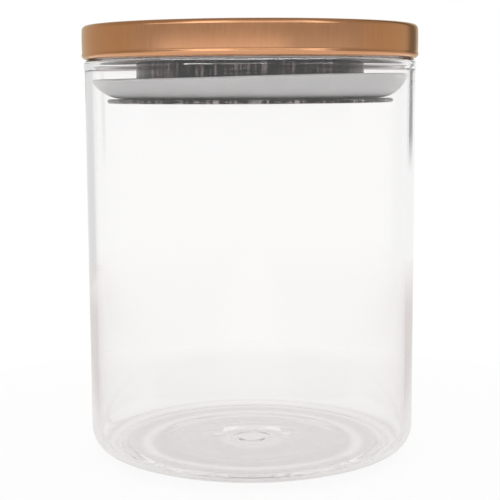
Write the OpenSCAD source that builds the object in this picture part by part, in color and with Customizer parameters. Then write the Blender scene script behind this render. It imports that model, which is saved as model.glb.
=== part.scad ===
// Lidded glass canister: a straight glass jar and a push-in lid. The lid is a rolled metal cap
// over a moulded core, with a drawn neck below it that carries a silicone seal and a steel plate.
// Millimetres. The origin is the centre of the jar's foot, with +Z up the jar's axis.

/* [Jar] */
// Outside diameter of the glass wall
jar_d = 100.5; // [88:0.1:130]
// Height of the glass from the table to the top of its rim
jar_h = 121; // [60:1:220]
// Thickness of the glass wall
wall = 2.2; // [1.8:0.1:3.6]
// Thickness of the glass floor at its edge
floor_t = 2.4; // [2:0.1:6]
// Width of the round of the outside bottom corner
corner_w = 5.3; // [3:0.1:8]
// Height of the round of the outside bottom corner
corner_h = 6.5; // [3:0.1:9]
// Height of the low slope under the base, between the corner's round and the table
heel_h = 2; // [0.5:0.1:3]
// Angle of the corner's round at which the slope takes over
heel_turn = 77; // [60:1:85]
// Radius of the inside bottom corner
inner_corner_r = 6; // [4:0.1:8]
// How far in from the wall the flat ring that the jar stands on starts
foot_inset = 12.2; // [9:0.1:16]
// Width of the flat ring that the jar stands on
foot_w = 2; // [1.5:0.5:10]
// Height of the shallow dome under the floor
punt_h = 0.9; // [0.2:0.1:2]
// Rise of the inside floor towards the middle
floor_rise = 0.3; // [0:0.1:1.5]
// Radius of the small ring mark in the middle of the underside
nub_r = 5.2; // [3:0.2:9]
// Half width of the small ring mark
nub_w = 1.3; // [0.8:0.1:2.5]
// Depth of the small ring mark
nub_h = 0.3; // [0:0.1:0.6]
// Height of the fire-polished round of the rim
rim_round = 1.3; // [0.8:0.1:2.4]
// How far the rim's bead stands out from the wall
rim_bead = 0.3; // [0:0.05:0.8]
// Length over which the bead runs out into the wall
bead_run = 1.6; // [1:0.1:8]

/* [Cap] */
// How far the cap's side reaches out past the glass wall
cap_overhang = 0.75; // [0.5:0.05:3]
// Height of the cap
cap_h = 10; // [8:0.5:20]
// Sheet thickness of the cap
cap_sheet = 0.6; // [0.4:0.1:1]
// Outside radius of the cap's top edge
cap_corner_r = 1.4; // [1.1:0.1:3]
// Outside radius of the curl at the cap's bottom edge
curl_r = 1.5; // [1.1:0.1:2]
// How far the curl stands out from the cap's side
curl_proud = 0.15; // [0.05:0.05:0.4]
// Gap between the resting curl and the glass rim
seat_gap = 0.1; // [0.05:0.05:0.3]

/* [Core and pan] */
// Thickness of the core's top plate
core_t = 2; // [1.2:0.2:3]
// Thickness of the core's ring walls and ribs
core_wall = 1.6; // [1:0.2:2.4]
// Number of ribs in the core
core_ribs = 12; // [6:1:24]
// Sheet thickness of the pan, the neck and other pressed pieces
sheet = 0.5; // [0.4:0.1:0.8]
// Height of the pan's floor above the bottom of the curl
pan_lift = 0.3; // [0.1:0.1:1]
// Radial clearance between nested pieces
fit_gap = 0.1; // [0.05:0.05:0.3]

/* [Neck and plate] */
// Depth from the top of the glass rim down to the top of the bottom plate
plug_depth = 11.6; // [9:0.2:16]
// Radial space between the glass and the neck
neck_inset = 13.3; // [11:0.1:18]
// Width of the neck's top flange
neck_flange = 4; // [2:0.5:8]
// Radial width of the neck's step that presses on the seal
neck_step = 8; // [4:0.5:10]
// Radial space between the glass and the bottom plate
plate_inset = 4.4; // [2:0.2:8]
// Thickness of the bottom plate
plate_t = 1.3; // [0.8:0.1:2]
// Space between the washers and the neck's step
stud_margin = 4.3; // [1:0.1:6]
// Number of studs welded on the plate
stud_count = 3; // [3:1:6]
// Diameter of a stud
stud_d = 3; // [2.5:0.5:4]
// Height of a stud above the plate
stud_h = 5; // [4.5:0.5:6]
// Thickness of a washer
washer_t = 0.5; // [0.4:0.1:0.8]
// Outside diameter of a washer
washer_d = 7; // [6:0.5:9]
// Thickness of a nut
nut_t = 2.4; // [2:0.2:2.6]
// Width across the flats of a nut
nut_af = 5.5; // [5.5:0.5:7]

/* [Seal] */
// Thickness of the seal's base, between the neck and the plate
seal_base_t = 1.9; // [1.4:0.1:3]
// Outside radius of the seal's curved lip, seen in section
lip_curve_r = 9; // [7:0.1:10.5]
// Thickness of the lip
lip_t = 1.2; // [0.8:0.1:1.3]
// Height of the lip's edge above the bottom plate
lip_h = 5.9; // [4:0.1:7]
// Gap between the lip and the glass
lip_gap = 0.12; // [0.05:0.01:0.3]
// Height of the lip's underside above the bottom plate
lip_lift = 0.12; // [0.05:0.01:0.4]

/* [Hidden] */
$fn = 180;

// How far the cap's side reaches down past the middle of the curl, to join it
curl_join = 0.3;

// Steps that a curved stretch of a polygon outline is divided into
corner_steps = 10;
heel_steps = 5;
dome_steps = 8;
nub_steps = 8;

// Power of the slope under the base: it leaves the table softly
heel_power = 1.5;

// Jar radii
jar_r = jar_d / 2;
bore_r = jar_r - wall;
foot_r = jar_r - foot_inset;
punt_r = foot_r - foot_w;
flat_r = bore_r - inner_corner_r;
mark_r = nub_r + 2 * nub_w;
heel_r = jar_r - corner_w * (1 - cos(heel_turn));
heel_top = heel_h + corner_h * (1 - sin(heel_turn));

// Lid levels, from the rest height of the lid on the rim
cap_bottom = jar_h + seat_gap;
cap_top = cap_bottom + cap_h;
pan_bottom = cap_bottom + pan_lift;
pan_top = pan_bottom + sheet;
pan_flange_bottom = cap_bottom + 2 * curl_r;
plate_top = jar_h - plug_depth;
plate_bottom = plate_top - plate_t;
seal_top = plate_top + seal_base_t;
washer_bottom = plate_top + sheet;
nut_bottom = washer_bottom + washer_t;
core_top = cap_top - cap_sheet;

// Lid radii
cap_r = jar_r + cap_overhang;
curl_x = cap_r + curl_proud - curl_r;
pan_r = curl_x - curl_r - fit_gap;
neck_r = bore_r - neck_inset;
plate_r = bore_r - plate_inset;
step_r = neck_r - neck_step;
stud_circle_r = step_r - sheet - washer_d / 2 - stud_margin;
core_r = cap_r - cap_sheet - fit_gap;
lip_r = bore_r - lip_gap;
lip_centre_z = plate_top + lip_lift + lip_curve_r;
lip_rise = lip_centre_z - (plate_top + lip_h);
lip_centre_x = lip_r - sqrt(lip_curve_r * lip_curve_r - lip_rise * lip_rise);

// Points along an arc of an ellipse
function arc(centre, rx, ry, from, to, steps) =
    [for (i = [0 : steps]) let (a = from + (to - from) * i / steps)
        [centre[0] + rx * cos(a), centre[1] + ry * sin(a)]];

// Height of the underside and of the inside floor at a radius
function punt_z(r) = punt_h * pow(1 - pow(r / punt_r, 2), 2) + nub_h * exp(-pow((r - nub_r) / nub_w, 2));
function floor_z(r) = floor_t + floor_rise * (1 - pow(r / flat_r, 2));

// Section of the jar's underside, from the axis to the foot and on up the slope outside it
function underside() = concat(
    [for (i = [0 : nub_steps - 1]) let (r = mark_r * i / nub_steps) [r, punt_z(r)]],
    [for (i = [0 : dome_steps - 1]) let (r = mark_r + (punt_r - mark_r) * i / dome_steps) [r, punt_z(r)]],
    [[punt_r, 0]],
    [for (i = [0 : heel_steps - 1]) let (t = i / heel_steps)
        [foot_r + (heel_r - foot_r) * t, heel_top * pow(t, heel_power)]]);

// Half of a ring or disc by its inner and outer radius and its levels
module slab(r_in, r_out, z_low, z_high) {
    translate([r_in, z_low]) square([r_out - r_in, z_high - z_low]);
}

// Half section of the cap's outside, less a margin all round; its top edge is a true round
module cap_block(margin) {
    edge = cap_corner_r - margin;
    side = cap_r - margin;
    crown = cap_top - margin;
    foot = cap_bottom + curl_r - curl_join;
    slab(0, side - edge, foot, crown);
    slab(side - 2 * edge, side, foot, crown - edge);
    translate([side - edge, crown - edge]) circle(edge);
}

module curl_section() {
    translate([curl_x, cap_bottom + curl_r]) difference() {
        circle(curl_r);
        circle(curl_r - cap_sheet);
        square(2 * curl_r);
    }
}

module at_studs() {
    for (i = [0 : stud_count - 1]) rotate(360 * i / stud_count) translate([stud_circle_r, 0, 0]) children();
}

// Straight glass body with a rounded base, a shallow dome under the floor and a polished rim
module glass_jar() {
    rim_w = (wall + rim_bead) / 2;
    color([0.9, 0.93, 0.93, 0.4]) rotate_extrude() polygon(concat(
        underside(),
        arc([jar_r - corner_w, heel_h + corner_h], corner_w, corner_h, -heel_turn, 0, corner_steps),
        [[jar_r, jar_h - rim_round - bead_run]],
        arc([bore_r + rim_w, jar_h - rim_round], rim_w, rim_round, 0, 180, 2 * corner_steps),
        arc([flat_r, floor_t + inner_corner_r], inner_corner_r, inner_corner_r, 0, -90, corner_steps),
        [for (i = [dome_steps - 1 : -1 : 0]) let (r = flat_r * i / dome_steps) [r, floor_z(r)]]));
}

// Copper-coloured cap of rolled sheet, with a curled bottom edge
module lid_cap() {
    color([0.72, 0.45, 0.27]) rotate_extrude() {
        difference() {
            cap_block(0);
            cap_block(cap_sheet);
            slab(-1, cap_r - cap_sheet, 0, cap_top - cap_corner_r);
        }
        curl_section();
    }
}

// Moulded stiffener that fills the cap and holds the pan and the neck down
module core_disc() {
    outer_wall_r = core_r - core_wall;
    hub_r = neck_r + neck_flange;
    under = core_top - core_t;
    edge = cap_corner_r - cap_sheet;
    color([0.2, 0.2, 0.21]) {
        rotate_extrude() {
            slab(0, core_r - edge, under, core_top);
            slab(outer_wall_r, core_r, pan_flange_bottom + sheet, core_top - edge);
            slab(hub_r - core_wall, hub_r, pan_top + sheet, core_top);
        }
        for (i = [0 : core_ribs - 1]) rotate(360 * i / core_ribs)
            translate([hub_r - core_wall / 2, -core_wall / 2, pan_flange_bottom + sheet])
                cube([outer_wall_r - hub_r + core_wall, core_wall, under + core_t / 2 - pan_flange_bottom - sheet]);
    }
}

// Pressed pan that closes the cap from below; its outer flange lies on the curl
module under_pan() {
    color([0.62, 0.62, 0.63]) rotate_extrude() {
        slab(neck_r + fit_gap, pan_r, pan_bottom, pan_top);
        slab(pan_r - sheet, pan_r, pan_bottom, pan_flange_bottom + sheet);
        slab(pan_r - sheet, core_r, pan_flange_bottom, pan_flange_bottom + sheet);
    }
}

// Drawn neck that hangs by its flange through the pan, with a stepped floor for the seal
module neck_drum() {
    color([0.45, 0.45, 0.46]) difference() {
        rotate_extrude() {
            slab(neck_r - sheet, neck_r + neck_flange, pan_top, pan_top + sheet);
            slab(neck_r - sheet, neck_r, seal_top, pan_top + sheet);
            slab(step_r - sheet, neck_r, seal_top, seal_top + sheet);
            slab(step_r - sheet, step_r, plate_top, seal_top + sheet);
            slab(0, step_r, plate_top, plate_top + sheet);
        }
        at_studs() translate([0, 0, plate_top - 1]) cylinder(r = stud_d / 2 + fit_gap, h = sheet + 2);
    }
}

// Silicone ring held between the neck and the plate, with a lip that curves up to the glass
module seal_ring() {
    color([0.85, 0.85, 0.85]) rotate_extrude() {
        slab(step_r + fit_gap, neck_r + lip_t, plate_top, seal_top);
        slab(neck_r, lip_centre_x, plate_top + lip_lift, plate_top + lip_lift + lip_t);
        translate([lip_centre_x, lip_centre_z]) intersection() {
            difference() {
                circle(lip_curve_r);
                circle(lip_curve_r - lip_t);
            }
            translate([0, -2 * lip_curve_r]) square([2 * lip_curve_r, 2 * lip_curve_r - lip_rise]);
        }
    }
}

// Steel disc with a round edge, and the studs welded on it
module bottom_plate() {
    color([0.4, 0.4, 0.41]) {
        rotate_extrude() {
            slab(0, plate_r - plate_t / 2, plate_bottom, plate_top);
            translate([plate_r - plate_t / 2, plate_bottom + plate_t / 2]) intersection() {
                circle(plate_t / 2);
                translate([0, -plate_t]) square(2 * plate_t);
            }
        }
        at_studs() translate([0, 0, plate_top - plate_t / 2]) cylinder(d = stud_d, h = stud_h + plate_t / 2);
    }
}

module stud_washers() {
    color("silver") at_studs() translate([0, 0, washer_bottom]) difference() {
        cylinder(d = washer_d, h = washer_t);
        translate([0, 0, -1]) cylinder(r = stud_d / 2 + fit_gap, h = washer_t + 2);
    }
}

module stud_nuts() {
    color("gray") at_studs() translate([0, 0, nut_bottom]) difference() {
        cylinder(d = nut_af / cos(30), h = nut_t, $fn = 6);
        translate([0, 0, -1]) cylinder(r = stud_d / 2 + fit_gap / 2, h = nut_t + 2);
    }
}

glass_jar();
lid_cap();
core_disc();
under_pan();
neck_drum();
seal_ring();
bottom_plate();
stud_washers();
stud_nuts();
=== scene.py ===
# %% [markdown]
# # A glass storage canister with a push-in lid
#
# The jar is one piece of blown borosilicate glass. The lid is an assembly: a rolled copper-coloured
# cap over a moulded core, a pressed pan that closes the cap from below, and a drawn steel neck that
# carries a silicone seal and a steel plate into the mouth of the jar. Almost every piece is round
# about one upright axis, so almost every piece is made the way a spinner or a glass worker makes
# it: by turning one section round that axis.

import math

import bmesh
import bpy
from mathutils import Matrix, Vector


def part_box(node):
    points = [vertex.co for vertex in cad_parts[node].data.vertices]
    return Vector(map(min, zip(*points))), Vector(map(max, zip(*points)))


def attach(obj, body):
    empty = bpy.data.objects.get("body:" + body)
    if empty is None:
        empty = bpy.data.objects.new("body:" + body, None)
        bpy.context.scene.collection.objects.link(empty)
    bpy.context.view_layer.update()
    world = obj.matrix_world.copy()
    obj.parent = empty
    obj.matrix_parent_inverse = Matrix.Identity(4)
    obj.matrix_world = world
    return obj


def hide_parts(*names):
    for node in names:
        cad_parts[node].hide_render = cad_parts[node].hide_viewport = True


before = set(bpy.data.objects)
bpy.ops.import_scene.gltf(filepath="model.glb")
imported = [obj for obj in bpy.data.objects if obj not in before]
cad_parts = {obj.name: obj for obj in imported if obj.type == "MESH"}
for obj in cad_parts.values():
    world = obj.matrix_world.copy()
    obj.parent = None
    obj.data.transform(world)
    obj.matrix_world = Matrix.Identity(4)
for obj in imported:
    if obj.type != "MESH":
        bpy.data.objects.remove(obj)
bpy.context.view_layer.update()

# %% [markdown]
# ## A bench for node trees
#
# Materials, the sky and the geometry trees are all networks of nodes. Wiring them one call at a
# time hides the sums, so a small class wraps an output socket and lets Python's own signs add the
# Math nodes. Any other node comes from one method: its kind, its settings and its sockets.


# %% Wires and benches
class Wire:
    """An output socket that can be used in a sum. Each sign adds one Math node."""

    def __init__(self, bench, socket):
        self.bench, self.socket = bench, socket

    def sum(self, operation, first, second):
        return self.bench.put("ShaderNodeMath", {"operation": operation}, {0: first, 1: second})

    def __add__(self, other):
        return self.sum("ADD", self, other)

    def __sub__(self, other):
        return self.sum("SUBTRACT", self, other)

    def __rsub__(self, other):
        return self.sum("SUBTRACT", other, self)

    def __mul__(self, other):
        return self.sum("MULTIPLY", self, other)

    def __gt__(self, other):
        return self.sum("GREATER_THAN", self, other)

    def __getitem__(self, name):
        return Wire(self.bench, self.socket.node.outputs[name])

    __radd__ = __add__
    __rmul__ = __mul__


class Bench:
    """A node tree, and the one way that nodes are put on it."""

    def __init__(self, tree):
        self.tree = tree
        tree.nodes.clear()

    def put(self, kind, settings=None, sockets=None):
        node = self.tree.nodes.new(kind)
        for name, value in (settings or {}).items():
            setattr(node, name, value)
        for name, value in (sockets or {}).items():
            if isinstance(value, Wire):
                self.tree.links.new(value.socket, node.inputs[name])
            else:
                node.inputs[name].default_value = value
        return Wire(self, node.outputs[0]) if node.outputs else node

    def function(self, operation, *values):
        return self.put("ShaderNodeMath", {"operation": operation}, dict(enumerate(values)))

    def ramp(self, value, start, end, low=0.0, high=1.0):
        """Runs smoothly from low to high as value goes from start to end, and stays level outside."""
        return self.put(
            "ShaderNodeMapRange",
            {"interpolation_type": "SMOOTHSTEP"},
            {"Value": value, "From Min": start, "From Max": end, "To Min": low, "To Max": high},
        )

    def inside(self, value, low, high, soft):
        """1 between low and high, fading out over a soft edge on either side of both."""
        risen = self.ramp(value, low - soft, low + soft)
        return risen * self.ramp(value, high - soft, high + soft, 1.0, 0.0)

    def tint(self, share, first, second):
        """A colour between two colours."""
        mix = self.put("ShaderNodeMix", {"data_type": "RGBA"}, {0: share, 6: first, 7: second})
        return mix[2]


print("a bench with", len([name for name in vars(Bench) if name[0] != "_"]), "tools")

# %% [markdown]
# ## Sizes
#
# The packed solids already stand at their real size, so each outer radius and each level is read
# from a solid's box. Only what a box can't tell, such as a sheet's thickness, is written here.
# Sections are drawn in millimetres, and turned into metres when a mesh is made.

# %% Sizes in millimetres
MM = 0.001


def reach(node):
    """The outer radius, the bottom and the top of a round solid of the model, in millimetres."""
    low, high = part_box(node)
    return [round(value / MM, 2) for value in (max(high[0], high[1]), low[2], high[2])]


fit_gap = 0.1

wall, rim_bead = 2.2, 0.3
rim_reach, _, jar_h = reach("glass_jar")
jar_r = rim_reach - rim_bead
bore_r = jar_r - wall

cap_sheet, curl_proud, curl_r = 0.6, 0.15, 1.5
curl_reach, cap_bottom, cap_top = reach("lid_cap")
cap_r = curl_reach - curl_proud
curl_x = curl_reach - curl_r

sheet, neck_inset, neck_step = 0.5, 13.3, 8.0
core_r, pan_bottom, flange_top = reach("under_pan")
pan_r = curl_x - curl_r - fit_gap
pan_top, pan_flange = pan_bottom + sheet, flange_top - sheet
neck_flange_r, plate_top, _ = reach("neck_drum")
neck_r = bore_r - neck_inset
step_r = neck_r - neck_step
plate_r, plate_bottom, stud_top = reach("bottom_plate")
seal_base_t = 1.9
lip_r, seal_bottom, lip_top = reach("seal_ring")
seal_top = plate_top + seal_base_t

washer_r, stud_r, stud_count = 3.5, 1.5, 3
stud_circle_r = reach("stud_washers")[0] - washer_r

print("jar", 2 * jar_r, "x", jar_h, "cap", 2 * cap_r, "mm across, top at", cap_top)

# %% [markdown]
# ### Drawing a section
#
# A section is a list of points: the distance from the axis, and the height. Four helpers draw them
# all: even steps along a line, a smooth rise between two levels, an arc of an ellipse, and corners
# rounded as a press or a mould rounds them. Each is told its steps, so that a tight bend gets many
# faces and a long straight few.


# %% Helpers for sections
def spread(start, end, steps):
    """Even steps from start to end, both of them in it."""
    return [start + (end - start) * i / steps for i in range(steps + 1)]


def rise(t):
    """A smooth S from 0 to 1, level at both ends."""
    return t * t * (3 - 2 * t)


def arc(centre, rx, ry, start, end, steps):
    """Points along an arc of an ellipse, with angles in degrees."""
    turns = [math.radians(turn) for turn in spread(start, end, steps)]
    return [(centre[0] + rx * math.cos(a), centre[1] + ry * math.sin(a)) for a in turns]


def eased(corners, steps=6):
    """A section whose corners (r, z, radius) are rounded as a press or a mould rounds them."""
    points = []
    for i, (r, z, radius) in enumerate(corners):
        if not radius:
            points.append((r, z))
            continue
        before, after = corners[i - 1], corners[(i + 1) % len(corners)]
        to_before = (before[0] - r, before[1] - z)
        to_after = (after[0] - r, after[1] - z)
        long_before, long_after = math.hypot(*to_before), math.hypot(*to_after)
        u = (to_before[0] / long_before, to_before[1] / long_before)
        v = (to_after[0] / long_after, to_after[1] / long_after)
        half = math.acos(max(-1, min(1, u[0] * v[0] + u[1] * v[1]))) / 2
        back = min(radius / math.tan(half), 0.49 * long_before, 0.49 * long_after)
        for t in spread(0, 1, steps):
            near, away = (1 - t) ** 2 * back, t**2 * back
            points.append((r + near * u[0] + away * v[0], z + near * u[1] + away * v[1]))
    return points


# %% [markdown]
# ## The lathe
#
# A turned piece could be made with the Screw or Spin tools, but those leave the number of sides
# and the welds to be remembered each time. A Geometry Nodes tree does the same for every piece:
# the section is swept along a circle, the seam and the poles are welded, faces are shaded smooth
# and only real creases stay sharp. Its inputs have names, so each piece only says its numbers.


# %% Lathe tree
def new_tree(name, inputs):
    tree = bpy.data.node_groups.new(name, "GeometryNodeTree")
    tree.interface.new_socket("Made", in_out="OUTPUT", socket_type="NodeSocketGeometry")
    tree.interface.new_socket("Given", in_out="INPUT", socket_type="NodeSocketGeometry")
    for label, kind in inputs.items():
        tree.interface.new_socket(label, in_out="INPUT", socket_type="NodeSocket" + kind)
    return tree, Bench(tree)


def shaded(bench, made, crease):
    """Smooth faces, with an edge kept sharp where it folds by more than the crease angle."""
    made = bench.put("GeometryNodeSetShadeSmooth", {"domain": "FACE"}, {"Geometry": made})
    creased = bench.put("GeometryNodeInputMeshEdgeAngle") > crease
    return bench.put(
        "GeometryNodeSetShadeSmooth",
        {"domain": "EDGE"},
        {"Geometry": made, "Selection": creased, "Shade Smooth": False},
    )


def close_tree(bench, made, finish):
    """Every tree ends the same way: real geometry, then its finish."""
    made = bench.put("GeometryNodeRealizeInstances", None, {"Geometry": made})
    made = bench.put("GeometryNodeSetMaterial", None, {"Geometry": made, "Material": finish})
    bench.put("NodeGroupOutput", None, {"Made": made})


lathe_inputs = {
    "Sides": "Int",
    "Swing": "Float",
    "Weld": "Float",
    "Crease": "Float",
    "Finish": "Material",
}
lathe, bench = new_tree("Lathe", lathe_inputs)
given = bench.put("NodeGroupInput")
section = bench.put("GeometryNodeMeshToCurve", None, {"Mesh": given["Given"]})
shift = bench.put("ShaderNodeCombineXYZ", None, {"X": 0 - given["Swing"]})
section = bench.put(
    "GeometryNodeTransform", None, {"Geometry": section, "Translation": shift, "Scale": (1, -1, 1)}
)
path = bench.put(
    "GeometryNodeCurvePrimitiveCircle", None, {"Resolution": given["Sides"], "Radius": given["Swing"]}
)
path = bench.put("GeometryNodeSetCurveNormal", {"mode": "Z_UP"}, {"Curve": path})
made = bench.put("GeometryNodeCurveToMesh", None, {"Curve": path, "Profile Curve": section})
made = bench.put("GeometryNodeMergeByDistance", None, {"Geometry": made, "Distance": given["Weld"]})
close_tree(bench, shaded(bench, made, given["Crease"]), given["Finish"])
print("lathe tree", len(lathe.nodes), "nodes")

# %% [markdown]
# ### From a section to a piece
#
# A tree is put on a piece as a modifier, and its inputs are set by their identifiers. The result is
# then taken off as a plain mesh, with every face turned outwards, so that nothing live is left on
# the piece. Last, the piece is hung on the body that carries it, and the solid that it stands for
# is hidden.

# %% Steps on a piece
weld_distance, crease_angle = 1e-7, 35.0


def add_step(piece, tree, values):
    """Puts a geometry tree on a piece and sets its inputs by their identifiers."""
    step = piece.modifiers.new(tree.name, "NODES")
    step.node_group = tree
    for item in tree.interface.items_tree:
        if item.in_out == "INPUT" and item.name in values:
            step[item.identifier] = values[item.name]
    return piece


def turned(name, section, finish, closed=False, sides=256):
    """A piece turned from a section of (r, z) points, still with its lathe step on it."""
    mesh = bpy.data.meshes.new(name)
    count = len(section)
    edges = [(i, i + 1) for i in range(count - 1)] + ([(count - 1, 0)] if closed else [])
    mesh.from_pydata([(r * MM, z * MM, 0) for r, z in section], edges, [])
    piece = bpy.data.objects.new(name, mesh)
    bpy.context.scene.collection.objects.link(piece)
    values = {
        "Sides": sides,
        "Swing": max(r for r, z in section) * MM,
        "Weld": weld_distance,
        "Crease": math.radians(crease_angle),
        "Finish": finish,
    }
    return add_step(piece, lathe, values)


# %% Plain meshes and what they stand for
def made_plain(piece):
    """Turns the result of the steps into a plain mesh with its faces outwards."""
    bpy.context.view_layer.update()
    graph = bpy.context.evaluated_depsgraph_get()
    mesh = bpy.data.meshes.new_from_object(
        piece.evaluated_get(graph), preserve_all_data_layers=True, depsgraph=graph
    )
    piece.modifiers.clear()
    piece.data = mesh
    mesh.name = piece.name
    shell = bmesh.new()
    shell.from_mesh(mesh)
    bmesh.ops.recalc_face_normals(shell, faces=shell.faces)
    open_edges = sum(1 for e in shell.edges if not e.is_manifold)
    shell.to_mesh(mesh)
    shell.free()
    print(piece.name, len(mesh.vertices), "points", len(mesh.polygons), "faces", open_edges, "open")
    return piece


def fitted(piece, body, node):
    """Hangs the piece on the body that carries it, and hides the solid that it stands for."""
    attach(piece, body)
    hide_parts(node)


# %% [markdown]
# ## Finishes
#
# A finish is made once and shared by the pieces that really have it. Patterns read Object
# coordinates, which are the metres of the drawing, so a streak has its true width. What varies
# goes only to colour, roughness and bump. What is the same everywhere is set on the socket.


# %% Helpers for finishes
def new_finish(name):
    finish = bpy.data.materials.new(name)
    finish.use_nodes = True
    return finish, Bench(finish.node_tree)


def close_finish(bench, skin):
    bench.put("ShaderNodeOutputMaterial", None, {"Surface": skin})


def spot(bench):
    """The point on the piece, in metres."""
    return bench.put("ShaderNodeTexCoord")["Object"]


def parts(bench, point):
    """What a point is made of: x, y, z and the distance from the axis."""
    x = bench.put("ShaderNodeSeparateXYZ", None, {0: point})
    y, z = x["Y"], x["Z"]
    return x, y, z, bench.function("SQRT", x * x + y * y)


def stretched(bench, point, scale):
    """The point with its three directions scaled apart, which draws a pattern out into streaks."""
    return bench.put("ShaderNodeVectorMath", {"operation": "MULTIPLY"}, {0: point, 1: scale})


def noise(bench, point, scale, detail=2.0, rough=0.5):
    sockets = {"Vector": point, "Scale": scale, "Detail": detail, "Roughness": rough}
    return bench.put("ShaderNodeTexNoise", None, sockets)


def bumped(bench, height, strength, depth):
    """A small relief of the surface, with its depth in millimetres."""
    sockets = {"Strength": strength, "Distance": depth * MM, "Height": height}
    return bench.put("ShaderNodeBump", None, sockets)


def skinned(finish, bench, sockets):
    """Gives a finish its one skin, with each socket that differs from plain white plastic."""
    close_finish(bench, bench.put("ShaderNodeBsdfPrincipled", None, sockets))
    print(finish.name, len(finish.node_tree.nodes), "nodes")


# %% [markdown]
# ### Clear glass
#
# Borosilicate tube is clear, with a faint warm-grey cast where the eye looks along the wall. Drawn
# glass is never quite flat, so a weak, long ripple bends what is seen through it a little.

# %% Clear glass
clear_glass, bench = new_finish("clear_glass")
ripple = noise(bench, stretched(bench, spot(bench), (1.0, 1.0, 0.3)), 45.0, 1.0)
skin = {
    "Base Color": (0.985, 0.98, 0.978, 1),
    "Roughness": 0.0,
    "IOR": 1.47,
    "Transmission Weight": 1.0,
    "Normal": bumped(bench, ripple, 0.12, 0.1),
}
skinned(clear_glass, bench, skin)

# %% [markdown]
# ### Copper-coloured cap
#
# The cap is steel sheet with a copper-coloured plate, brushed upright on its side and spun in
# rings on its top. Two noises make the marks: one that is drawn out along the axis for the side,
# and one that only reads the distance from the axis for the top. A clear lacquer lies over them.

# %% Copper finish
copper_finish, bench = new_finish("copper_finish")
point = spot(bench)
*_, r = parts(bench, point)
upright = noise(bench, stretched(bench, point, (1.0, 1.0, 0.06)), 2200.0, 3.0, 0.6)
outward = bench.put("ShaderNodeCombineXYZ", None, {"X": r})
spun = noise(bench, outward, 2600.0, 3.0, 0.6)
on_top = bench.ramp(r, (cap_r - 1.8) * MM, (cap_r - 1.0) * MM, 1.0, 0.0)
marks = upright + (spun - upright) * on_top
cloud = noise(bench, point, 70.0, 2.0)
shade = marks * 0.7 + cloud * 0.3
colour = bench.tint(shade, (0.51, 0.226, 0.086, 1), (0.73, 0.33, 0.135, 1))
skin = {
    "Base Color": colour,
    "Metallic": 1.0,
    "Roughness": 0.17 + shade * 0.1,
    "Specular Tint": (1.0, 0.75, 0.5, 1),
    "Coat Weight": 1.0,
    "Coat Roughness": 0.15,
    "Coat IOR": 1.7,
    "Normal": bumped(bench, marks, 0.35, 0.02),
}
skinned(copper_finish, bench, skin)

# %% [markdown]
# ### Pressed steel
#
# The neck, the pan and the plate are bright rolled stainless sheet. It picks up fine marks round
# the axis when it is drawn, and its own grain stands upright in it. So two noises are mixed, one
# that changes fast with height and one that changes fast around, and where the mix is low a streak
# is nearly black, partly grain and partly a painted reflection of dark surroundings. Between its
# dark streaks the neck, with the pan, is painted duller than the plate, as painted shade from the
# cap. The underside of the plate and the pan outside the neck are painted pale and even, a painted
# reflection of the bright floor and jar below.

# %% Pressed steel
clear_of_plate = (plate_bottom + 3.0) * MM
pressed_steel, bench = new_finish("pressed_steel")
point = spot(bench)
*_, z, r = parts(bench, point)
drawn = noise(bench, stretched(bench, point, (0.05, 0.05, 1.0)), 2500.0, 2.0)
grain = noise(bench, stretched(bench, point, (1.0, 1.0, 0.05)), 900.0, 3.0, 0.75)
shade = drawn * 0.3 + grain * 0.7
# Where the noise is low the steel goes nearly black: partly its grain, partly a painted reflection of
# dark surroundings.
grain_and_painted_reflection = bench.ramp(shade, 0.5, 0.58)
# Above the plate, on the neck and pan, the steel is painted darker: painted shade from the cap.
steel_with_painted_shade = bench.tint(z > clear_of_plate, (0.45, 0.41, 0.41, 1), (0.23, 0.192, 0.196, 1))
colour = bench.tint(grain_and_painted_reflection, (0.006, 0.005, 0.005, 1), steel_with_painted_shade)
# The plate's underside and the pan outside the neck are painted pale: a painted reflection of the
# bright floor below.
plate_painted_reflection = bench.ramp(z, (plate_bottom + 0.05) * MM, (plate_bottom + 0.2) * MM, 1.0, 0.0)
pan_painted_reflection = bench.ramp(r, (neck_r + fit_gap) * MM, (neck_r + 0.5) * MM)
pan_painted_reflection = pan_painted_reflection * (z > (pan_bottom - 0.5) * MM)
painted_reflection_face = bench.function("MAXIMUM", plate_painted_reflection, pan_painted_reflection)
skin = {
    "Base Color": bench.tint(painted_reflection_face, colour, (0.78, 0.75, 0.74, 1)),
    "Metallic": 1.0,
    "Roughness": 0.16 + shade * 0.16,
    "Normal": bumped(bench, shade, 0.3, 0.03),
}
skinned(pressed_steel, bench, skin)

# %% [markdown]
# ### Silicone
#
# Moulded silicone is white and slightly see-through, with a soft sheen. A little subsurface
# scattering lets light into the thin lip, and a faint cloudiness keeps it from looking painted.

# %% Silicone
silicone, bench = new_finish("silicone")
point = spot(bench)
cloud = noise(bench, point, 90.0, 2.0)
colour = bench.tint(cloud, (0.9, 0.88, 0.885, 1), (0.97, 0.95, 0.95, 1))
mould = noise(bench, point, 3000.0, 1.0)
skin = {
    "Base Color": colour,
    "Roughness": 0.38 + cloud * 0.1,
    "Subsurface Weight": 0.5,
    "Subsurface Radius": (1.0, 0.9, 0.85),
    "Subsurface Scale": 2.5 * MM,
    "Normal": bumped(bench, mould, 0.15, 0.02),
}
skinned(silicone, bench, skin)

# %% [markdown]
# ### Moulded core and zinc hardware
#
# Both are hidden while the lid is whole, but the solids that carry them stay in the model, so they
# get honest finishes: a matt, finely pitted plastic, and the mottled grey of zinc plating.

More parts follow.
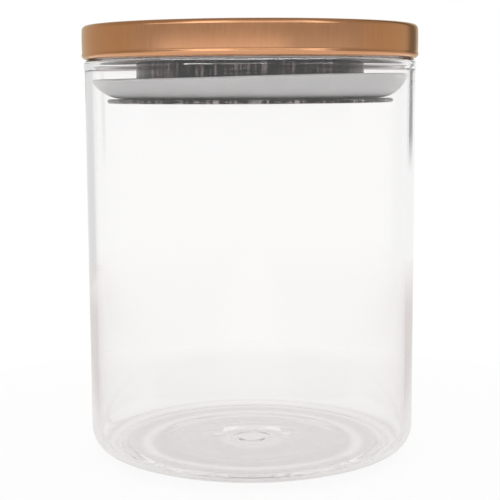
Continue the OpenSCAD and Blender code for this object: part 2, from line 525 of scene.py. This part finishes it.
# %% Hidden finishes
moulded_core, bench = new_finish("moulded_core")
pits = noise(bench, spot(bench), 4000.0, 2.0)
colour = bench.tint(pits, (0.17, 0.17, 0.18, 1), (0.23, 0.23, 0.24, 1))
skin = {"Base Color": colour, "Roughness": 0.5 + pits * 0.2, "Normal": bumped(bench, pits, 0.4, 0.03)}
skinned(moulded_core, bench, skin)

zinc_hardware, bench = new_finish("zinc_hardware")
mottle = noise(bench, spot(bench), 1200.0, 4.0, 0.6)
colour = bench.tint(mottle, (0.48, 0.49, 0.51, 1), (0.68, 0.69, 0.71, 1))
skin = {"Base Color": colour, "Metallic": 1.0, "Roughness": 0.25 + mottle * 0.25}
skinned(zinc_hardware, bench, skin)

# %% [markdown]
# ## The glass jar
#
# A lamp worker cuts a glass tube, melts one end shut over a former and fire-polishes the other,
# which leaves a low bead round the rim. The base slopes softly down from its corner to a narrow
# ring that stands on the table, round a shallow dome. Hand-worked glass keeps low rings from the
# lathe, and a small ring mark where the gather was taken off. They are a third of a millimetre high
# at most, yet they show, because the eye meets the floor near the angle at which glass turns into a
# mirror. The section runs from the axis under the floor, round the outside, over the rim and back
# along the inside floor.

# %% Jar section
corner_w, corner_h, heel_h, heel_turn = 5.3, 6.5, 2.0, 77.0
foot_inset, foot_w, punt_h, heel_power = 12.2, 2.0, 0.9, 1.5
floor_t, floor_rise, inner_corner_r = 2.4, 0.3, 6.0
rim_round, rim_w, bead_run = 2.1, (wall + rim_bead) / 2, 1.6
foot_r, flat_r = jar_r - foot_inset, bore_r - inner_corner_r
punt_r = foot_r - foot_w
under_rings = ((5.2, 1.3, 0.3), (10.0, 2.4, 0.17), (25.5, 3.5, 0.22))
floor_rings = ((42.0, 1.5, -0.12),)


def rings(r, rows):
    """Height of low round rings, each with its radius, half width and height."""
    return sum(high * math.exp(-(((r - at) / wide) ** 2)) for at, wide, high in rows)


def underside(r):
    return punt_h * (1 - (r / punt_r) ** 2) ** 2 + rings(r, under_rings)


def inside_floor(r):
    return floor_t + floor_rise * (1 - (r / flat_r) ** 2) + rings(r, floor_rings)


def jar_section():
    rim = (bore_r + rim_w, jar_h - rim_round)
    wall_top = rim[1] - bead_run
    corner = arc((jar_r - corner_w, heel_h + corner_h), corner_w, corner_h, -heel_turn, 0, 24)
    heel_r, heel_top = corner[0]
    heel, bead = [], []
    for t in spread(0, 1, 16)[:-1]:
        heel.append((foot_r + (heel_r - foot_r) * t, heel_top * t**heel_power))
    for t in spread(0, 1, 8)[1:-1]:
        bead.append((jar_r + rim_bead * rise(t), wall_top + bead_run * t))
    return (
        [(r, underside(r)) for r in spread(0, punt_r, 120)]
        + heel
        + corner
        + [(jar_r, z) for z in spread(corner[-1][1], wall_top, 8)[1:]]
        + bead
        + arc(rim, rim_w, rim_round, 0, 180, 24)
        + [(bore_r, z) for z in spread(rim[1], floor_t + inner_corner_r, 8)[1:-1]]
        + arc((flat_r, floor_t + inner_corner_r), inner_corner_r, inner_corner_r, 0, -90, 20)
        + [(r, inside_floor(r)) for r in spread(flat_r, 0, 96)[1:]]
    )


jar = made_plain(turned("jar_glass", jar_section(), clear_glass, sides=288))
fitted(jar, "jar", "glass_jar")

# %% [markdown]
# ## The cap
#
# The cap is pressed from sheet, spun to a rounded top edge, and its free edge is rolled inwards
# into a curl that stands a hair proud of the side. The side bulges by less than a tenth of a
# millimetre, and a soft step leads down to the curl, which is enough to bend a highlight. Turning
# one section that follows the sheet all the way, outside and inside, gives the curl its real hollow.

# %% Cap section
corner_r, side_bulge = 1.4, 0.075
crease, crease_low, curl_tuck = 0.45, -0.26, 0.02


def cap_section():
    curl = (curl_x, cap_bottom + curl_r)
    side_r, side_low, side_high = cap_r - side_bulge, curl[1] + crease, cap_top - corner_r
    outer = [(r, cap_top) for r in spread(0, side_r - corner_r, 12)[:-1]]
    outer += arc((side_r - corner_r, side_high), corner_r, corner_r, 90, 0, 12)
    for t in spread(1, 0, 16)[1:]:
        outer.append((side_r + side_bulge * 4 * t * (1 - t), side_low + (side_high - side_low) * t))
    for t in spread(0, 1, 8)[1:-1]:
        proud = (curl_reach - curl_tuck - side_r) * rise(t)
        outer.append((side_r + proud, side_low - (crease - crease_low) * t))
    outer += arc(curl, curl_r, curl_r, -10, -270, 40)
    inner = arc(curl, curl_r - cap_sheet, curl_r - cap_sheet, -270, 0, 30)
    inside = cap_r - cap_sheet
    inner += [(inside, side_low), (inside, side_high)]
    bend_r = corner_r - cap_sheet
    inner += arc((cap_r - corner_r, side_high), bend_r, bend_r, 0, 90, 8)[1:]
    inner += [(r, cap_top - cap_sheet) for r in spread(cap_r - corner_r, 0, 6)[1:]]
    return outer + inner


cap = made_plain(turned("cap_copper", cap_section(), copper_finish))
fitted(cap, "lid", "lid_cap")

# %% [markdown]
# ## The pan, the neck and the plate
#
# These are press work: sheet with rounded bends. A section is written as its corners, each with
# the radius of its bend, and a helper rounds them. The pan is one closed ring.

# %% Pan
pan_section = eased(
    [
        (neck_r + fit_gap, pan_bottom, 0),
        (pan_r, pan_bottom, 0.6),
        (pan_r, pan_flange, 0.1),
        (core_r, pan_flange, 0),
        (core_r, pan_flange + sheet, 0),
        (pan_r - sheet, pan_flange + sheet, 0.5),
        (pan_r - sheet, pan_top, 0.1),
        (neck_r + fit_gap, pan_top, 0),
    ]
)
pan = made_plain(turned("pan_steel", pan_section, pressed_steel, closed=True))
fitted(pan, "lid", "under_pan")

# %% [markdown]
# ### The neck
#
# The neck hangs by its flange from the pan and has a stepped floor. Three studs of the plate pass
# through it, so a second tree drills the holes. It sets copies of one drill round a circle, and one
# Boolean takes them all out of the turned neck.


# %% Copies on a circle, cut out or welded on
def circle_tree(name, operation):
    inputs = {
        "Copy": "Object",
        "Count": "Int",
        "Circle": "Float",
        "Crease": "Float",
        "Finish": "Material",
    }
    tree, bench = new_tree(name, inputs)
    given = bench.put("NodeGroupInput")
    spots = bench.put(
        "GeometryNodeMeshCircle", None, {"Vertices": given["Count"], "Radius": given["Circle"]}
    )
    copy = bench.put("GeometryNodeObjectInfo", None, {"Object": given["Copy"]})["Geometry"]
    copies = bench.put("GeometryNodeInstanceOnPoints", None, {"Points": spots, "Instance": copy})
    copies = bench.put("GeometryNodeRealizeInstances", None, {"Geometry": copies})
    both = {"Mesh 1": given["Given"], "Mesh 2": copies}
    if operation == "UNION":
        joined = bench.put("GeometryNodeJoinGeometry", None, {"Geometry": given["Given"]})
        bench.tree.links.new(copies.socket, joined.socket.node.inputs["Geometry"])
        both = {"Mesh 2": joined}
    made = bench.put("GeometryNodeMeshBoolean", {"operation": operation, "solver": "EXACT"}, both)
    close_tree(bench, shaded(bench, made, given["Crease"]), given["Finish"])
    return tree


def stud_step(piece, tree, copy, finish):
    values = {
        "Copy": copy,
        "Count": stud_count,
        "Circle": stud_circle_r * MM,
        "Crease": math.radians(crease_angle),
        "Finish": finish,
    }
    return add_step(piece, tree, values)


cut_holes = circle_tree("Cut holes", "DIFFERENCE")
weld_on = circle_tree("Weld on", "UNION")
hole_r = stud_r + fit_gap
drill_section = [(0, plate_bottom), (hole_r, plate_bottom), (hole_r, seal_top), (0, seal_top)]
drill = made_plain(turned("drill", drill_section, pressed_steel, sides=32))

# %% Neck
neck_section = [(0, plate_top + sheet)] + eased(
    [
        (step_r - sheet, plate_top + sheet, 0.4),
        (step_r - sheet, seal_top + sheet, 0.9),
        (neck_r - sheet, seal_top + sheet, 0.3),
        (neck_r - sheet, pan_top + sheet, 0.6),
        (neck_flange_r, pan_top + sheet, 0.1),
        (neck_flange_r, pan_top, 0.1),
        (neck_r, pan_top, 0.1),
        (neck_r, seal_top, 0.7),
        (step_r, seal_top, 0.4),
        (step_r, plate_top, 0.9),
        (0, plate_top, 0),
    ]
)
neck = turned("neck_steel", neck_section, pressed_steel)
stud_step(neck, cut_holes, drill, pressed_steel)
neck = made_plain(neck)
fitted(neck, "lid", "neck_drum")

# %% [markdown]
# ### The plate
#
# The plate is a stamped disc with a rounded edge. Each stud is turned with a chamfer on its end,
# as a bought stud has, and the same circle tree welds three of them on.

# %% Plate
edge, stud_chamfer = (plate_top - plate_bottom) / 2, 0.4
plate_section = (
    [(r, plate_bottom) for r in spread(0, plate_r - edge, 12)[:-1]]
    + arc((plate_r - edge, plate_bottom + edge), edge, edge, -90, 90, 12)
    + [(r, plate_top) for r in spread(plate_r - edge, 0, 12)[1:]]
)
stud_section = [
    (0, plate_bottom + edge),
    (stud_r, plate_bottom + edge),
    (stud_r, stud_top - stud_chamfer),
    (stud_r - stud_chamfer, stud_top),
    (0, stud_top),
]
stud = made_plain(turned("stud", stud_section, pressed_steel, sides=32))
plate = turned("plate_steel", plate_section, pressed_steel)
stud_step(plate, weld_on, stud, pressed_steel)
plate = made_plain(plate)
fitted(plate, "lid", "bottom_plate")
for tool in (drill, stud):
    bpy.data.objects.remove(tool)

# %% [markdown]
# ## The seal
#
# The seal is one silicone ring, held between neck and plate. Its thin lip sweeps out and up until
# it meets the glass. A lip this thin never lies quite even, so another tree lifts and lowers it
# with two slow waves round the axis. The wave grows from nothing at the base to its full height at
# the lip's edge, and it only moves points up or down, so the lip can't reach into the glass. The
# root of the lip and the base are both measured outwards from the neck, above and below.

# %% Seal
lip_curve_r, lip_t, low_gap = 10.5, 1.2, 0.12
root_top, root_low, base_top, base_low = 2.0, 2.1, 1.2, 0.9
lip_low = seal_bottom + low_gap
lip_edge = lip_top - 0.45 * lip_t
lip_drop = lip_low + lip_curve_r - lip_edge
lip_centre = (lip_r - math.sqrt(lip_curve_r**2 - lip_drop**2), lip_low + lip_curve_r)
lip_angle = math.degrees(math.asin(lip_drop / lip_curve_r))


def seal_section():
    mid_r = lip_curve_r - lip_t / 2
    outer = arc(lip_centre, lip_curve_r, lip_curve_r, -90, -lip_angle, 28)
    turn = math.radians(-lip_angle)
    tip = (lip_centre[0] + mid_r * math.cos(turn), lip_centre[1] + mid_r * math.sin(turn))
    round_tip = arc(tip, lip_t / 2, lip_t / 2, -lip_angle, 180 - lip_angle, 10)[1:]
    inner = arc(lip_centre, lip_curve_r - lip_t, lip_curve_r - lip_t, -lip_angle, -90, 28)[1:]
    base = eased(
        [
            (neck_r + root_top, lip_low + lip_t, 0.5),
            (neck_r + base_top, seal_top, 0.3),
            (step_r + fit_gap, seal_top, 0.1),
            (step_r + fit_gap, plate_top, 0.1),
            (neck_r + base_low, plate_top, 0.3),
            (neck_r + root_low, lip_low, 0.3),
        ]
    )
    return outer + round_tip + inner + base


seal = turned("seal_silicone", seal_section(), silicone, closed=True)
print("seal section from", round(lip_low, 2), "to", lip_top, "mm")

# %% Waves of the lip
wave_sizes = {
    "Lift": 0.49 * MM,
    "One wave": 0.66 * MM,
    "One wave turn": math.radians(37.3),
    "Two waves": 0.32 * MM,
    "Two waves turn": math.radians(124.7),
    "Base level": (seal_top - 1.1) * MM,
    "Lip level": lip_edge * MM,
}
wave_inputs = {name: "Float" for name in wave_sizes}
wave_inputs["Finish"] = "Material"
lip_wave, bench = new_tree("Lip wave", wave_inputs)
given = bench.put("NodeGroupInput")
x = bench.put("ShaderNodeSeparateXYZ", None, {0: bench.put("GeometryNodeInputPosition")})
around = bench.function("ARCTAN2", x["Y"], x)
once = bench.function("COSINE", around - given["One wave turn"])
twice = bench.function("COSINE", (around - given["Two waves turn"]) * 2)
wave = given["Lift"] + once * given["One wave"] + twice * given["Two waves"]
grown = bench.ramp(x["Z"], given["Base level"], given["Lip level"])
offset = bench.put("ShaderNodeCombineXYZ", None, {"Z": wave * grown})
made = bench.put("GeometryNodeSetPosition", None, {"Geometry": given["Given"], "Offset": offset})
close_tree(bench, made, given["Finish"])

add_step(seal, lip_wave, {**wave_sizes, "Finish": silicone})
seal = made_plain(seal)
fitted(seal, "lid", "seal_ring")

# %% [markdown]
# ## Hidden pieces
#
# The core, the washers and the nuts have the right shape already, so their solids stay and only
# get their finishes.

# %% Finishes on the solids that stay
for node, finish in (
    ("core_disc", moulded_core),
    ("stud_washers", zinc_hardware),
    ("stud_nuts", zinc_hardware),
):
    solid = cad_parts[node]
    solid.data.materials.clear()
    solid.data.materials.append(finish)
    print(node, "wears", finish.name)

# %% [markdown]
# ## Studio
#
# The canister stands on a pale sheet in an even, white studio. Clear glass and polished metal show
# only what is around them, so the sky is painted by direction: how far round from the front, and
# how high, both in degrees. Lamps and dark screens are cards, which are rectangles of the sky with
# a soft edge. One sky can't serve every ray. Paper wants even light, rough metal wants a room with
# lamps in it, and clear glass wants pale surroundings with a few dark edges. Light Path tells which
# kind of ray is asking, so each kind gets its own.

# %% Directions and cards
world = bpy.data.worlds.new("studio")
bpy.context.scene.world = world
world.use_nodes = True
bench = Bench(world.node_tree)
# In a sky, the first output of Texture Coordinate is the way that a ray goes.
x = bench.put("ShaderNodeSeparateXYZ", None, {0: bench.put("ShaderNodeTexCoord")})
azimuth = bench.function("ARCTAN2", x, 0 - x["Y"]) * math.degrees(1)
height = bench.function("ARCSINE", x["Z"]) * math.degrees(1)
aside = bench.function("ABSOLUTE", azimuth)


def card(left, right, low, high, soft):
    """1 on a rectangle of the sky, in degrees from the front, fading out over a soft edge."""
    return bench.inside(azimuth, left, right, soft) * bench.inside(height, low, high, soft)


def cards(*rows):
    """Several cards together, each with its sides, its soft edge and its strength."""
    return sum(card(*sides) * strength for *sides, strength in rows)


print("the sky is split by", len(world.node_tree.nodes), "nodes")

# %% [markdown]
# ### The room in brushed metal
#
# Brushed and rolled metal mirrors softly, so it needs large, plain shapes: a grey room, a lit table
# in front, a wide bank of lamps above it that is brightest along its foot and in two upright
# stripes, and one dark screen behind at the right.

# %% Room
table_light, room_light, overhead_light = 0.75, 0.42, 0.42
front = bench.ramp(height, -4.0, 6.0, table_light, room_light)
sides = bench.ramp(height, -6.0, 8.0, 0.60, 0.55)
room = front + (sides - front) * bench.ramp(aside, 55.0, 95.0)
room = room + (overhead_light - room) * bench.ramp(height, 12.0, 30.0)
room = room + cards(
    (-62, 24, -60, 0, 5, 0.45),
    (-58, 58, 18, 60, 5, 0.5),
    (-46, -14, 18, 55, 4, 0.8),
    (42, 57, 18, 55, 4, 0.8),
    (-75, 60, 16, 27, 3, 1.0),
)
room = room * (1 - card(134, 154, -6, 50, 5) * 0.7)
print("the room brings it to", len(world.node_tree.nodes), "nodes")

# %% [markdown]
# ### What clear glass shows
#
# Rays that glass or a polished face turns aside see a pale sky instead. Once they have crossed
# several walls, they find a darker front there, and that draws the thick edges of the glass. A thin
# dark screen stands behind at the right, and a wide faint one behind at the left. Rays that are
# thrown back by the first face, and never get into the glass, also meet four strong lamps. Glass
# returns only a few hundredths of them, just enough for thin highlights along its rounded edges.

# %% Pale sky
plain_light, lamp_light = 0.92, 14.0
ray = bench.put("ShaderNodeLightPath")
crossed = bench.ramp(ray["Transmission Depth"], 3.4, 3.6)
untouched = bench.ramp(ray["Transmission Depth"], 0.4, 0.6, 1.0, 0.0)
pale = 0.95 - bench.ramp(height, -3.0, 1.0) * bench.ramp(aside, 95.0, 75.0) * 0.5
pale = plain_light + (pale - plain_light) * crossed
pale = pale * (1 - card(148, 155, -3, 60, 1.2)) * (1 - card(-168, -140, -90, 60, 6) * 0.22)
lamps = cards(
    (-44, -24, 3, 9, 1, 1.3),
    (-21, 13, 3, 9, 1, 0.4),
    (33, 58, 3, 9, 1, 0.4),
    (-80, 80, 44, 75, 3, 0.9),
)
pale = pale + lamps * untouched * lamp_light
print("the pale sky brings it to", len(world.node_tree.nodes), "nodes")

# %% [markdown]
# ### One sky from three
#
# Paper and other matt faces get the even sky. Soft reflections from the sides and from behind are
# tinted a little warm, which metal edges need to look like metal. Rays that were never thrown back
# go straight through to plain white, so the background stays white from any side.

# %% Mixed sky
warm_green, warm_blue = 0.12, 0.32
even = bench.ramp(height, -30.0, 60.0, 0.98, 1.08)
sharp, matt = ray["Is Singular Ray"], ray["Is Diffuse Ray"]
bounced = bench.function("MINIMUM", ray["Glossy Depth"], 1.0)
light = even + (room + (pale - room) * sharp - even) * bounced * (1 - matt)
warm = bench.ramp(aside, 60.0, 100.0) * bounced * (1 - sharp) * (1 - matt)
sockets = {0: light, 1: light * (1 - warm * warm_green), 2: light * (1 - warm * warm_blue)}
tone = bench.put("ShaderNodeCombineColor", None, sockets)
straight = 1 - bench.function("MINIMUM", ray["Glossy Depth"] + ray["Diffuse Depth"], 1.0)
glow = bench.tint(straight, tone, (1, 1, 1, 1))
sky = bench.put("ShaderNodeBackground", None, {"Color": glow, "Strength": 1.0})
bench.put("ShaderNodeOutputWorld", None, {"Surface": sky})
print("sky", len(world.node_tree.nodes), "nodes")

# %% [markdown]
# ### The floor
#
# The floor is a round pale sheet. What the camera sees of it is lifted towards white, as paper in
# a bright studio is, but its own shading is still mixed in, so the canister keeps a shadow. Through
# glass it shows dimmer under the jar, where less of the lift is mixed in so more of its own shadow
# shows, and the white there is painted a little pink as painted shadow. Mirrored in glass it is
# darker at both sides, which draws the outlines of the walls. The domed base gathers light into two
# rings and a spot on the sheet. To find them by chance would take a very long render, so they are
# painted on it, for every ray but those that come straight from the camera or from matt faces.

# %% Floor finish
floor_finish, bench = new_finish("pale_sheet")
point = spot(bench)
x, y, _, r = parts(bench, point)
tooth = noise(bench, point, 600.0, 3.0)
fibres = bench.tint(tooth, (0.86, 0.855, 0.85, 1), (0.90, 0.895, 0.89, 1))
paper = bench.put("ShaderNodeBsdfPrincipled", None, {"Base Color": fibres, "Roughness": 0.9})

ray = bench.put("ShaderNodeLightPath")
seen, sharp = ray["Is Camera Ray"], ray["Is Singular Ray"]
bounced = bench.function("MINIMUM", ray["Glossy Depth"], 1.0)
clear_of_jar = bench.function("MAXIMUM", bench.ramp(r, 35 * MM, 49 * MM), seen)
wide_ring = bench.inside(r, 31.75 * MM, 34.75 * MM, 1.25 * MM)
thin_ring = bench.inside(r, 40.05 * MM, 42.05 * MM, 0.75 * MM)
middle = bench.ramp(r, 12 * MM, 7 * MM)
gathered = (wide_ring + thin_ring * 0.7 + middle * 0.6) * (1 - seen) * 0.22
direct = (0.5 + clear_of_jar * 0.25 + seen * 0.17 + gathered) * (1 - ray["Is Diffuse Ray"])
far = bench.ramp(r, 60 * MM, 160 * MM) * (1 - bounced)
lift = bench.function("MAXIMUM", far, direct)
print("floor light", len(floor_finish.node_tree.nodes), "nodes")

# %% Floor tones
back_left = bench.ramp(x, -100 * MM, -150 * MM) * bench.ramp(y, 200 * MM, 330 * MM) * 0.8
near = bench.function("MAXIMUM", bench.ramp(r, 440 * MM, 240 * MM), back_left)
side = bench.ramp(bench.function("ABSOLUTE", x), 45 * MM, 110 * MM) * near
# Under the jar the white is painted a little pink: painted shadow.
painted_shadow_tone = bench.tint(clear_of_jar, (1, 0.968, 0.963, 1), (1, 1, 1, 1))
beside = bench.tint(side, (0.9, 0.88, 0.875, 1), (0.66, 0.62, 0.61, 1))
tone = bench.tint(bounced * sharp, painted_shadow_tone, beside)
white = bench.put("ShaderNodeEmission", None, {"Color": tone, "Strength": 1.0})
close_finish(bench, bench.put("ShaderNodeMixShader", None, {0: lift, 1: paper, 2: white}))
print("floor finish", len(floor_finish.node_tree.nodes), "nodes")

# %% Floor sheet
sheet_r, sheet_drop = 0.45, 0.02 * MM
disc = bmesh.new()
bmesh.ops.create_circle(disc, cap_ends=True, segments=96, radius=sheet_r)
sheet_mesh = bpy.data.meshes.new("floor")
disc.to_mesh(sheet_mesh)
disc.free()
floor = bpy.data.objects.new("floor", sheet_mesh)
floor.location.z = -sheet_drop
floor.data.materials.append(floor_finish)
bpy.context.scene.collection.objects.link(floor)
print("floor", [round(v, 3) for v in floor.dimensions])

# %% [markdown]
# ## Camera
#
# A long lens stands a little below the level of the lid and looks slightly down, so the rim and the
# base show as flat ovals. Light needs many bounces inside clear glass: with few, its thick edges
# turn black. The Standard view shows each colour as it was written.

# %% Camera
sensor_w, lens, clip_near, clip_far = 36.0, 90.77, 0.02, 20.0
camera_place = (0, -0.3902, 0.1133)
pitch, yaw, roll = 7.45, 0.048, -0.316
glass_bounces = 64

camera_data = bpy.data.cameras.new("camera")
camera_data.sensor_width = sensor_w
camera_data.lens = lens
camera_data.clip_start = clip_near
camera_data.clip_end = clip_far
camera = bpy.data.objects.new("camera", camera_data)
bpy.context.scene.collection.objects.link(camera)
camera.matrix_world = (
    Matrix.Translation(Vector(camera_place))
    @ Matrix.Rotation(math.radians(yaw), 4, "Z")
    @ Matrix.Rotation(math.radians(90 - pitch), 4, "X")
    @ Matrix.Rotation(math.radians(roll), 4, "Z")
)
bpy.context.scene.camera = camera
bpy.context.scene.view_settings.view_transform = "Standard"
cycles = bpy.context.scene.cycles
cycles.max_bounces = cycles.glossy_bounces = cycles.transmission_bounces = glass_bounces
print("camera lens", camera_data.lens)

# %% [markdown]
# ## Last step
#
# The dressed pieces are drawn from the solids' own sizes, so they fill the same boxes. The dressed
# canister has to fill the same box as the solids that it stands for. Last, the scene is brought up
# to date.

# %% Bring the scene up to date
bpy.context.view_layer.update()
